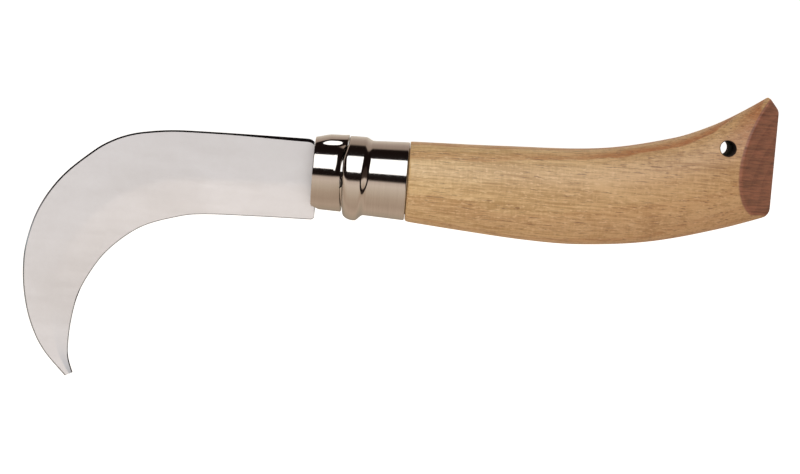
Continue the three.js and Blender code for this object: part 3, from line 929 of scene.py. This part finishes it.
@dataclass(frozen=True)
class Collar:
    """The ferrule and the lock ring that turns on it.

    Edges that wander round the collar are tables of degrees and millimetres behind the ring's front.
    """

    tube_radius: float = 8.6
    tube_bore: float = 7.9
    rim_radius: float = 9.15
    rim_length: float = 0.75
    bead_front: Pairs = (
        (0, 8.95), (30, 8.8), (60, 8.5), (90, 8.25), (118, 8.2), (135, 8.75), (150, 9.2), (165, 9.3),
        (200, 9.3), (240, 9.28), (300, 9.1), (360, 8.95),
    )
    bead_radius: float = 11.7
    bead_drop: float = 0.35
    bead_crown: float = 12.4
    bead_fall: float = 13.85
    bead_fall_length: float = 2.45
    bead_rows_end: float = 17.0
    cone_start: float = 15.7
    cone_front: float = 10.45
    cone_rear: float = 10.9
    cone_rows_end: float = 25.6
    length: float = 26.1
    ring_length: float = 8.7
    ring_front_wall: float = 1.1
    ring_rear_wall: float = 1.35
    ring_lift: float = 0.27
    ring_play: float = 0.3
    lip: float = 0.92
    lip_angles: tuple[float, float, float, float] = (143.0, 154.0, 208.0, 230.0)
    flare: float = 0.5
    flare_length: float = 1.65
    rear_edge: Pairs = (
        (0, 8.45), (30, 8.3), (60, 7.9), (90, 7.65), (118, 7.75), (135, 8.3), (150, 8.95), (165, 9.26),
        (180, 9.27), (200, 9.2), (230, 8.6), (360, 8.45),
    )
    gap_half_angle: float = 8.5
    recess: float = 2.1
    ramp_recess: float = 1.6

    def ferrule_profiles(self, angles: np.ndarray) -> np.ndarray:
        """Section of the ferrule at each angle.

        The outside is the cone's radius plus the bead: a steep round front on the ring's side, a
        short crown, and a smooth step down to the cone. At the belly the bead is rounder
        and stands a little further out than at the spine.

        Args:
            angles: Degrees round the axis.

        Returns:
            Array of shape (angles, points, 2).
        """
        belly = ((1 + np.cos(np.radians(angles))) / 2)[:, None]
        bead = self.bead_radius + self.bead_drop * (2 * belly - 1)
        start = height_at(self.bead_front, angles)[:, None]
        crown = start + (self.bead_crown - start) * np.linspace(0, 1, 26)[None, :] ** 1.7
        back = np.linspace(self.bead_crown, self.bead_rows_end, 36)[1:]
        back = np.concatenate([back, np.linspace(self.bead_rows_end, self.cone_rows_end, 18)[1:]])[None, :]
        x = np.concatenate([crown, back + 0 * start], axis=1)
        down = (x - self.cone_start) / (self.length - self.cone_start)
        cone = self.cone_front + (self.cone_rear - self.cone_front) * down
        rounding = 0.5 + 0.6 * smooth(belly, 0.0, 0.25) + 2.0 * belly**2
        into = ((x - start + 0.03) / rounding).clip(0, 1)
        front = np.sqrt(1 - (1 - into) ** 2) * (1 - 0.03 * (1 - ((x - start) / 3.0).clip(0, 1)) ** 2)
        fall_from = self.bead_fall - 0.6 * smooth(belly, 0.0, 0.5) - 0.95 * belly**3
        rear = 1 - smooth(x, fall_from, fall_from + self.bead_fall_length)
        body = np.stack([x, cone + (bead - cone) * front * rear], axis=-1)
        flat = np.ones((len(angles), 1))
        foot = np.stack([start - 0.02, self.tube_radius * flat], axis=-1)
        rim, rim_end, bore = self.rim_radius, self.rim_length, self.tube_bore
        end, far = self.cone_rear, self.length
        lead = [
            (0.0, bore + 0.1), (0.0, rim - 0.15), (0.05, rim - 0.04), (0.18, rim), (rim_end - 0.1, rim),
            (rim_end, rim - 0.1), (rim_end, self.tube_radius), (4.0, self.tube_radius),
        ]
        tail = [
            (far - 0.25, end - 0.03), (far - 0.1, end - 0.12), (far - 0.02, end - 0.28), (far, end - 0.45),
            (far, end - 0.85), (far - 0.2, 9.62), (10.2, 9.52), (9.9, 9.5), (9.9, bore), (0.3, bore),
        ]
        first, last = (np.array(corners) * flat[..., None] for corners in (lead, tail))
        return np.concatenate([first, foot, body, last], axis=1)

    def ring_front(self, angles: np.ndarray) -> np.ndarray:
        """Front edge of the ring: back beside the gap, with a short lead-in above and a long ramp below.

        Args:
            angles: Degrees round the axis.

        Returns:
            The edge's X at each angle, in millimetres.
        """
        near = self.recess * (1 - smooth(angles, self.gap_half_angle, 34.0))
        far = 360 - angles
        ramp = self.recess + (self.ramp_recess - self.recess) * smooth(far, self.gap_half_angle, 42.0)
        return np.where(angles < 180, near, ramp * (1 - smooth(far, 42.0, 62.0)))

    def ring_profiles(self, angles: np.ndarray) -> np.ndarray:
        """Section of the lock ring at each angle.

        The outside is a shallow cone plus the thumb lip, which swells out over the spine side,
        plus a short bell mouth elsewhere that grows with the square of the distance behind its
        start. The rear edge is scalloped on the upper side. The inside follows the lip with a wall
        of even thickness, and is stepped at the front for the ferrule's rim.

        Args:
            angles: Degrees round the axis.

        Returns:
            Array of shape (angles, points, 2).
        """
        front = self.ring_front(angles)[:, None]
        bore = self.tube_radius + self.ring_play
        lift = -self.ring_lift * np.cos(np.radians(angles))[:, None]
        a, b, c, d = self.lip_angles

        def swell(at: np.ndarray) -> np.ndarray:
            """Share of the lip: its foot is steeper near the ring's front."""
            return smooth(angles[:, None], a, b + 0.6 * (at - 5.0)) * (1 - smooth(angles, c, d))[:, None]

        flare = (self.flare * (1 - smooth(angles, 250.0, 300.0)) * smooth(angles, 20.0, 80.0))[:, None]
        end = height_at(self.rear_edge, angles)[:, None]
        corner = (((angles - 112.0) / 14.0) ** 2).clip(0, 1.6)[:, None] * 0.6
        t = np.linspace(0, 1, 34)[None, :]
        x = front + 0.16 + (end - 0.14 - front - 0.16) * t

        def radius(at: np.ndarray) -> np.ndarray:
            """Outside of the ring at a distance from its front.

            Args:
                at: Distances in millimetres.

            Returns:
                Radii in millimetres.
            """
            thicker = (self.ring_rear_wall - self.ring_front_wall) * at / self.ring_length
            share = swell(at)
            turned_up = 0.12 * ((at - 7.0) / 2).clip(0, 1) ** 2
            thumb = share * (self.lip * smooth(at, -0.8, 4.8) + turned_up)
            bell = ((at - end + self.flare_length + corner) / (self.flare_length + corner)).clip(0, 1.2) ** 2
            return bore + (self.ring_front_wall + thicker) + lift + thumb + flare * (1 - share) * bell

        outer = np.stack([x, radius(x)], axis=-1)
        edge_r = radius(end)
        inside_r = [np.maximum(edge_r - 0.62, bore + 0.12), np.maximum(edge_r - 0.72, bore + 0.02)]
        rear_x = np.concatenate([end - 0.05, end, end, end - 0.06], axis=1)
        rear_r = np.concatenate([edge_r - 0.05, edge_r - 0.16, *inside_r], axis=1)
        rear = np.stack([rear_x, rear_r], axis=-1)
        step = np.maximum(self.rim_length + self.ring_play, front + 0.3)
        xi = end - 0.5 + (step - end + 0.5) * np.linspace(0, 1, 14)[None, :]
        inner = np.stack([xi, bore + self.lip * swell(xi) * 0.8 * smooth(xi, 1.6, 7.0) + 0 * end], axis=-1)
        shelf_r = (self.rim_radius + self.ring_play) * np.ones_like(front)
        front_r = radius(front)
        mouth_x = np.concatenate([step, front + 0.05, front, front, front + 0.05], axis=1)
        mouth_r = np.concatenate([shelf_r, shelf_r, shelf_r + 0.06, front_r - 0.14, front_r - 0.04], axis=1)
        mouth = np.stack([mouth_x, mouth_r], axis=-1)
        return np.concatenate([outer, rear, inner, mouth], axis=1)

    def build_ferrule(self, place: CollarPlace) -> bpy.types.Object:
        """Makes and dresses the ferrule.

        Args:
            place: The collar's place.

        Returns:
            The ferrule.
        """
        angles = np.linspace(0, 360, 240, endpoint=False)
        rows = round_axis(angles, self.ferrule_profiles(angles))
        ferrule = grid_piece("ferrule_shell", place, rows, Ends.JOINED)
        cut_away(ferrule, Slot().tool(place), Pivot().drill("rivet_drill", place))
        crisp(ferrule, 35.0)
        finish = SteelFinish(
            name="polished_steel",
            colour=(0.70, 0.67, 0.64),
            tint=(0.64, 0.61, 0.58),
            roughness=0.10,
            roughness_spread=0.06,
            line_scale=(2600.0, 60.0, 60.0),
            line_depth=8e-7,
            stray=0.35,
            clouding=0.3,
            line_contrast=1.4,
        )
        ferrule.data.materials.clear()
        ferrule.data.materials.append(finish.material())
        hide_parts("ferrule")
        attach(ferrule, "grip")
        return ferrule

    def build_ring(self, place: CollarPlace) -> bpy.types.Object:
        """Makes and dresses the lock ring.

        Args:
            place: The collar's place.

        Returns:
            The lock ring.
        """
        inner = np.linspace(self.gap_half_angle + 0.35, 359.65 - self.gap_half_angle, 260)
        angles = np.concatenate([[self.gap_half_angle], inner, [360 - self.gap_half_angle]])
        profiles = self.ring_profiles(angles)
        middle = profiles.mean(axis=1, keepdims=True)
        profiles[[0, -1]] = (middle + (profiles - middle) * 0.9)[[0, -1]]
        ring = grid_piece("lock_ring_shell", place, round_axis(angles, profiles), Ends.CAPPED)
        crisp(ring, 38.0)
        finish = SteelFinish(
            name="ring_steel",
            colour=(0.68, 0.645, 0.61),
            tint=(0.60, 0.565, 0.53),
            roughness=0.085,
            roughness_spread=0.05,
            line_scale=(2200.0, 90.0, 90.0),
            line_depth=5e-7,
            stray=0.35,
            clouding=0.4,
            line_contrast=0.8,
        )
        ring.data.materials.append(finish.material())
        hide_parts("lock_ring")
        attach(ring, "ring")
        return ring


@dataclass(frozen=True)
class Handle:
    """The beech handle: neck, oval grip, faceted tail, slot and lanyard hole.

    Top, bottom and side are given over the length, from 0 at the ferrule to 1 at the tail's ridge.
    The pith that the growth rings go round lies at Y and Z from the collar's axis, below the grip.
    """

    front: float = 26.25
    rear: float = 127.3
    neck_front: float = 0.6
    neck_radius: float = 7.6
    cone_x: float = 10.2
    cone_radius: float = 9.2
    power: float = 2.15
    tail_power: float = 1.85
    facet_slope: float = 1.07
    ridge_round: float = 0.3
    top_fall: float = 3.5
    top_y: float = 31.3
    corner_radius: float = 3.0
    corner_y: float = -2.15
    hole_back: float = 14.35
    hole_y: float = 16.56
    hole_radius: float = 2.1
    pith: tuple[float, float] = (-2.0, -38.0)
    around: int = 200
    top: Pairs = (
        (0, 11.15), (0.253, 12.05), (0.521, 13.7), (0.716, 18.1), (0.818, 22.3), (0.908, 27.6), (1.037, 36.6),
    )
    bottom: Pairs = (
        (0, -11.15), (0.144, -12.3), (0.332, -13.5), (0.481, -13.5), (0.674, -11.15), (0.868, -5.9),
        (1.037, 0.2),
    )
    side: Pairs = ((0, 11.15), (0.233, 10.9), (0.531, 10.8), (0.779, 10.2), (0.908, 9.6), (1.037, 9))

    def section(self, share: np.ndarray, angle: np.ndarray, inset: float = 0.0) -> np.ndarray:
        """Points of the oval grip.

        A section is a fuller ellipse: |y/b|^p + |z/c|^p = 1, with p going from 2 at the ferrule to
        the grip's own power. Top, bottom and side are smooth curves over the length.

        Args:
            share: Place along the handle, 0 at the ferrule and 1 at the tail's ridge.
            angle: Radians round the section, 0 at the top.
            inset: How far the outline is drawn in, in millimetres.

        Returns:
            Points of the broadcast shape with a last axis of 3.
        """
        top = height_at(self.top, share) - inset
        bottom = height_at(self.bottom, share) + inset
        side = height_at(self.side, share) - inset
        c, s = np.cos(angle), np.sin(angle)
        power = 2 + (self.power - 2) * smooth(share, 0.0, 0.33)
        power = power + (self.tail_power - self.power) * smooth(share, 0.72, 0.94) * smooth(c, -0.1, 0.35)
        y = np.sign(c) * np.abs(c) ** (2 / power) * (top - bottom) / 2 + (top + bottom) / 2
        z = np.sign(s) * np.abs(s) ** (2 / power) * side
        x = self.front + share * (self.rear - self.front) + 0 * y
        return np.stack([x, y, z], axis=-1)

    def tail_limit(self, y: np.ndarray, z: np.ndarray) -> np.ndarray:
        """How far back the wood goes at (y, z): two facets, the top chamfer and the lower corner.

        The facets fall off with sqrt(z^2 + e^2), which rounds the ridge, and the smallest of the
        limits is taken softly, which eases the edges between them.

        Args:
            y: Height above the collar's axis.
            z: Distance from the blade's plane.

        Returns:
            The limit in X, in millimetres.
        """
        e = self.ridge_round
        facet = self.rear - self.facet_slope * (np.sqrt(z * z + e * e) - e)
        chamfer = self.rear + self.top_y - self.top_fall - y + self.facet_slope * e
        centre = self.corner_y + self.corner_radius
        below = np.clip((centre - y) / self.corner_radius, 0, 0.985)
        corner = facet - self.corner_radius * (1 - np.sqrt(1 - below**2))
        k = 0.35
        return -k * np.log(np.exp(-(corner - self.rear) / k) + np.exp(-(chamfer - self.rear) / k)) + self.rear

    def surface(self) -> np.ndarray:
        """Rows of the whole handle, neck first and tail last.

        Along each line of the grip the place where it meets the tail's limit is found by halving,
        the line ends there with a small eased corner, and the tail's own rows shrink from that
        rim to the ridge.

        Returns:
            Array of shape (rows, points round, 3), in millimetres.
        """
        angle = np.linspace(0, 2 * np.pi, self.around, endpoint=False)
        low, high = np.full(self.around, 0.8), np.full(self.around, 1.036)
        for _ in range(40):
            middle = (low + high) / 2
            p = self.section(middle, angle)
            inside = p[:, 0] < self.tail_limit(p[:, 1], p[:, 2])
            low, high = np.where(inside, middle, low), np.where(inside, high, middle)
        rim = self.section(low, angle)

        def ring(x: float, radius: float) -> np.ndarray:
            """A circle round the collar's axis."""
            return np.stack([np.full_like(angle, x), radius * np.cos(angle), radius * np.sin(angle)], axis=-1)

        neck = [
            ring(self.neck_front, 0.001),
            ring(self.neck_front, self.neck_radius - 0.3),
            ring(self.neck_front + 0.3, self.neck_radius),
            ring(self.cone_x, self.neck_radius),
            ring(self.cone_x, self.cone_radius),
            ring(self.front, self.cone_radius),
        ]
        ease = 0.85 - 0.55 * smooth(np.cos(angle), 0.2, 0.8)

        def shoulder_row(t: float) -> np.ndarray:
            """A row of the eased front edge, at t radians round it."""
            back = (ease * (1 - np.cos(t)))[:, None] * [1, 0, 0]
            return self.section(np.zeros(1), angle, ease * (1 - np.sin(t))) + back

        shoulder = [shoulder_row(t) for t in np.radians(np.linspace(0, 90, 7))]
        length = self.rear - self.front
        start, back = 1.15 / length, 0.35 / length
        run = np.linspace(0, 1, 190)[:, None]
        grip = self.section(start + (low[None, :] - back - start) * run, angle[None, :])
        target_y = np.clip(rim[:, 1], 2.2, 26.0)
        inward = np.array([0.04, 0.1, 0.2, 0.32, 0.45, 0.58, 0.7, 0.8, 0.88, 0.94, 0.98, 1.0])[:, None]
        y = rim[None, :, 1] + (target_y - rim[:, 1])[None, :] * inward
        z = rim[None, :, 2] * (1 - inward)
        tail = np.stack([self.tail_limit(y, z), y, z], axis=-1)
        t = np.array([0.25, 0.5, 0.75])[:, None, None]
        eased = (1 - t) ** 2 * grip[-1] + 2 * t * (1 - t) * rim + t**2 * tail[0]
        return np.concatenate([np.stack(neck), np.stack(shoulder), grip, eased, tail])

    def hole_tool(self, place: CollarPlace) -> bpy.types.Object:
        """Cutter for the lanyard hole, with mouths that flare where they meet the curved sides.

        Rings of the tool follow the grip's own surface at the hole: each is a circle of the
        hole's radius plus a flare, set at a depth below the surface found under that circle.

        Args:
            place: The collar's place.

        Returns:
            The cutter.
        """
        a = np.linspace(0, 2 * np.pi, 96, endpoint=False)
        depth = np.array([-6.0, 0.05, 0.18, 0.34, 0.55])
        flare = np.array([0.62, 0.55, 0.28, 0.09, 0.0])
        x = self.rear - self.hole_back + (self.hole_radius + flare[:, None]) * np.cos(a)
        y = self.hole_y + (self.hole_radius + flare[:, None]) * np.sin(a)
        share = (x - self.front) / (self.rear - self.front)
        top, bottom, side = (height_at(c, share) for c in (self.top, self.bottom, self.side))
        off = np.clip(np.abs((y - (top + bottom) / 2) / ((top - bottom) / 2)), 0, 0.98)
        z = side * (1 - off**self.power) ** (1 / self.power) - depth[:, None]
        upper = np.stack([x, y, z], axis=-1)
        rows = np.concatenate([upper, upper[::-1] * [1, 1, -1]])
        return grid_piece("lanyard_drill", place, rows, Ends.CAPPED)

    def build(self, place: CollarPlace) -> bpy.types.Object:
        """Makes and dresses the handle.

        Args:
            place: The collar's place.

        Returns:
            The handle.
        """
        handle = grid_piece("beech_handle", place, self.surface(), Ends.CAPPED)
        cut_away(handle, Slot().tool(place), self.hole_tool(place), Pivot().drill("fork_drill", place))
        crisp(handle, 40.0)
        x, y, z = place.origin
        finish = BeechFinish(
            tail_x=x + self.rear * MM,
            tail_slope=self.facet_slope,
            middle_z=z,
            pith=(y + self.pith[0] * MM, z + self.pith[1] * MM),
            neck_x=x + self.front * MM,
            hole=(x + (self.rear - self.hole_back) * MM, y + self.hole_y * MM, self.hole_radius * MM),
        )
        handle.data.materials.clear()
        handle.data.materials.append(finish.material())
        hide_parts("handle")
        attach(handle, "grip")
        return handle


# ---------------------------------------------------------------------------
# The studio
# ---------------------------------------------------------------------------


@dataclass(frozen=True)
class Lamp:
    """An area lamp that hangs at an angle round the collar's axis and is aimed at it.

    The angle is in degrees from the zenith towards the spine side, lengths are in metres, and the
    power is in watts.
    """

    name: str
    angle: float
    power: float
    size: tuple[float, float] = (1.2, 0.6)
    away: float = 0.75
    colour: Triple = (1.0, 1.0, 1.0)

    def hang(self, place: CollarPlace, pieces: list[bpy.types.Object]) -> None:
        """Hangs the lamp and links its light to the given pieces alone.

        Args:
            place: The collar's place.
            pieces: The pieces that it lights.
        """
        light = bpy.data.lights.new(self.name, "AREA")
        light.shape = "RECTANGLE"
        light.size, light.size_y = self.size
        light.energy = self.power
        light.color = self.colour
        lamp = bpy.data.objects.new(self.name, light)
        bpy.context.scene.collection.objects.link(lamp)
        a = np.radians(self.angle)
        lamp.location = Vector(place.origin) + Vector((0.0, np.sin(a), np.cos(a))) * self.away
        lamp.rotation_euler = (-a, 0.0, 0.0)
        lamp.light_linking.receiver_collection = bpy.data.collections.new("under_" + self.name)
        for piece in pieces:
            lamp.light_linking.receiver_collection.objects.link(piece)


@dataclass(frozen=True)
class Studio:
    """Pale floor, soft surroundings, one long softbox over the spine side, and the camera.

    The room is a table of degrees round the collar's axis, 0 at the zenith, and its colour there.
    """

    distance: float = 0.6
    field_width: float = 0.2227
    roll: float = 4.745
    tilt: float = 4.0
    middle: tuple[float, float] = (25.46, -15.60)
    floor_reach: float = 3.0
    softbox_angle: float = 41.5
    softbox_spread: float = 46.0
    softbox_distance: float = 0.55
    softbox_length: float = 0.42
    softbox_radiance: float = 2.0
    screen: Triple = (0.012, 0.007, 0.006)
    overhead: Lamp = Lamp("overhead", 6.0, 2.35, size=(1.2, 0.9))
    wood_lamps: tuple[Lamp, ...] = (
        Lamp("wood_key", 18.0, 1.5),
        Lamp("wood_belly", -62.0, 0.52, colour=(0.75, 0.95, 1.3)),
        Lamp("wood_spine", 80.0, 1.25, colour=(1.0, 0.98, 0.9)),
    )
    room: tuple[tuple[float, Triple], ...] = (
        (-180, (0.42, 0.37, 0.29)), (-160, (0.36, 0.30, 0.24)), (-138, (0.50, 0.40, 0.30)),
        (-110, (0.60, 0.46, 0.35)), (-82, (0.53, 0.40, 0.30)), (-58, (0.58, 0.45, 0.34)),
        (-36, (0.69, 0.57, 0.45)), (-18, (0.80, 0.67, 0.56)), (-8, (0.72, 0.59, 0.50)),
        (0, (0.06, 0.04, 0.03)), (100, (0.03, 0.02, 0.02)), (110, (0.40, 0.31, 0.25)),
        (126, (0.47, 0.37, 0.31)), (146, (0.64, 0.54, 0.45)), (164, (0.76, 0.68, 0.58)),
        (180, (0.45, 0.40, 0.31)),
    )

    def floor(self) -> bpy.types.Object:
        """A plain pale floor that the reflections don't show.

        Returns:
            The floor.
        """
        corners = np.array([[-1, -1, 0], [1, -1, 0], [1, 1, 0], [-1, 1, 0]])
        floor = mesh_piece("floor", corners * self.floor_reach, [[0, 1, 2, 3]])
        material, _, shader, _ = new_material("pale_floor")
        shader.inputs["Base Color"].default_value = (0.9, 0.9, 0.9, 1.0)
        shader.inputs["Roughness"].default_value = 0.9
        shader.inputs["Emission Color"].default_value = (1.0, 1.0, 1.0, 1.0)
        shader.inputs["Emission Strength"].default_value = 1.0
        floor.data.materials.append(material)
        floor.visible_glossy = False
        floor.visible_diffuse = False
        return floor

    def surroundings(self) -> None:
        """A world whose brightness depends on the direction round the collar's axis.

        The angle runs from the zenith, 0, towards the spine side, 90. Round the softbox stands a
        black screen that is open below it; everything else is a warm grey room, brightest just
        on the belly side of the zenith. On the handle's side a black flag joins the screen: its
        edge rises with the square of how far a direction leans aside, and a gap is left in it at
        its far end.
        """
        world = bpy.data.worlds.new("studio")
        bpy.context.scene.world = world
        world.use_nodes = True
        w = Wiring(world.node_tree)
        way = w.add("ShaderNodeTexCoord").outputs["Generated"]
        x, y, z = w.add("ShaderNodeSeparateXYZ", {0: way}).outputs
        angle = w.math("DEGREES", w.math("ARCTAN2", y, z))
        ramp = w.add("ShaderNodeValToRGB", {0: w.math("MULTIPLY_ADD", angle, 1 / 360, 0.5)})
        stops = ramp.color_ramp.elements
        while len(stops) > 1:
            stops.remove(stops[-1])
        stops[0].position = 0.0
        stops[0].color = (*self.room[0][1], 1.0)
        for degrees, colour in self.room[1:]:
            stops.new(degrees / 360 + 0.5).color = (*colour, 1.0)
        below = w.fade(angle, 99.0, 109.0, 1.0, 0.0)
        screen = w.math("MULTIPLY", w.fade(angle, -7.0, 0.0), below)
        along = w.math("MULTIPLY", w.math("MAXIMUM", x, 0.0), x)
        aside = w.math("MULTIPLY", y, y)
        rise = w.math("MULTIPLY_ADD", w.math("POWER", aside, 3.0), 40.0, 0.02)
        edge = w.math("MULTIPLY_ADD", aside, 1.42, rise)
        flag = w.math("MULTIPLY", w.fade(w.math("SUBTRACT", along, edge), 0.0, 0.03), below)
        far_end = w.math("MULTIPLY_ADD", aside, 2.4, 0.56)
        gap = w.fade(w.math("SUBTRACT", along, far_end), 0.0, 0.05)
        screen = w.math("MULTIPLY", w.math("MAXIMUM", screen, flag), w.math("SUBTRACT", 1.0, gap))
        colour = w.blend(screen, ramp.outputs[0], self.screen)
        background = w.add("ShaderNodeBackground", {"Color": colour, "Strength": 1.0})
        w.add("ShaderNodeOutputWorld", {"Surface": background.outputs[0]})

    def lights(self, place: CollarPlace, pieces: dict[str, bpy.types.Object]) -> None:
        """Hangs the softbox over the spine side, a broad lamp for the blade and three for the wood.

        The softbox is as high as its spread of angles asks for at its distance, and its power is
        its radiance times pi times its area. It isn't for the blade, whose flat side would mirror it.

        Args:
            place: The collar's place.
            pieces: The tool's pieces by label; each lamp is only for some of them.
        """
        height = 2 * self.softbox_distance * np.tan(np.radians(self.softbox_spread / 2))
        power = self.softbox_radiance * np.pi * self.softbox_length * height
        size = (self.softbox_length, height)
        softbox = Lamp("softbox", self.softbox_angle, power, size, self.softbox_distance)
        softbox.hang(place, [piece for label, piece in pieces.items() if label != "blade"])
        self.overhead.hang(place, [pieces["blade"]])
        for lamp in self.wood_lamps:
            lamp.hang(place, [pieces["handle"]])

    def camera(self, place: CollarPlace) -> None:
        """Sets the camera over the tool, rolled and tilted a little towards the spine side.

        Args:
            place: The collar's place.
        """
        roll, tilt = np.radians(self.roll), np.radians(self.tilt)
        right = Vector((np.cos(roll), np.sin(roll), 0.0))
        up = Vector((-np.sin(roll), np.cos(roll), 0.0))
        back = (up * np.sin(tilt) + Vector((0, 0, 1)) * np.cos(tilt)).normalized()
        target = Vector(place.metres(np.array([*self.middle, 0.0])))
        data = bpy.data.cameras.new("camera")
        data.sensor_width = 36.0
        data.lens = 36.0 * self.distance / self.field_width
        data.clip_start = 0.01
        camera = bpy.data.objects.new("camera", data)
        bpy.context.scene.collection.objects.link(camera)
        turned = Matrix((right, back.cross(right), back)).transposed().to_4x4()
        camera.matrix_world = Matrix.Translation(target + back * self.distance) @ turned
        bpy.context.scene.camera = camera

    def build(self, place: CollarPlace, pieces: dict[str, bpy.types.Object]) -> None:
        """Sets up everything round the tool.

        Args:
            place: The collar's place.
            pieces: The tool's pieces by label.
        """
        self.floor()
        self.surroundings()
        self.lights(place, pieces)
        self.camera(place)
        bpy.context.scene.view_settings.view_transform = "Standard"


def main() -> None:
    """Builds the tool piece by piece, then the studio."""
    logging.basicConfig(level=logging.INFO, format="%(message)s")
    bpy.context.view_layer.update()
    place = CollarPlace.from_frame()
    collar = Collar()
    builders = {
        "blade": Blade().build,
        "ferrule": collar.build_ferrule,
        "lock ring": collar.build_ring,
        "handle": Handle().build,
        "rivet": Pivot().build,
    }
    pieces = {}
    for label, build in builders.items():
        pieces[label] = build(place)
        log.info("%s: %d faces", label, len(pieces[label].data.polygons))
    Studio().build(place, pieces)


if __name__ == "__main__":
    main()
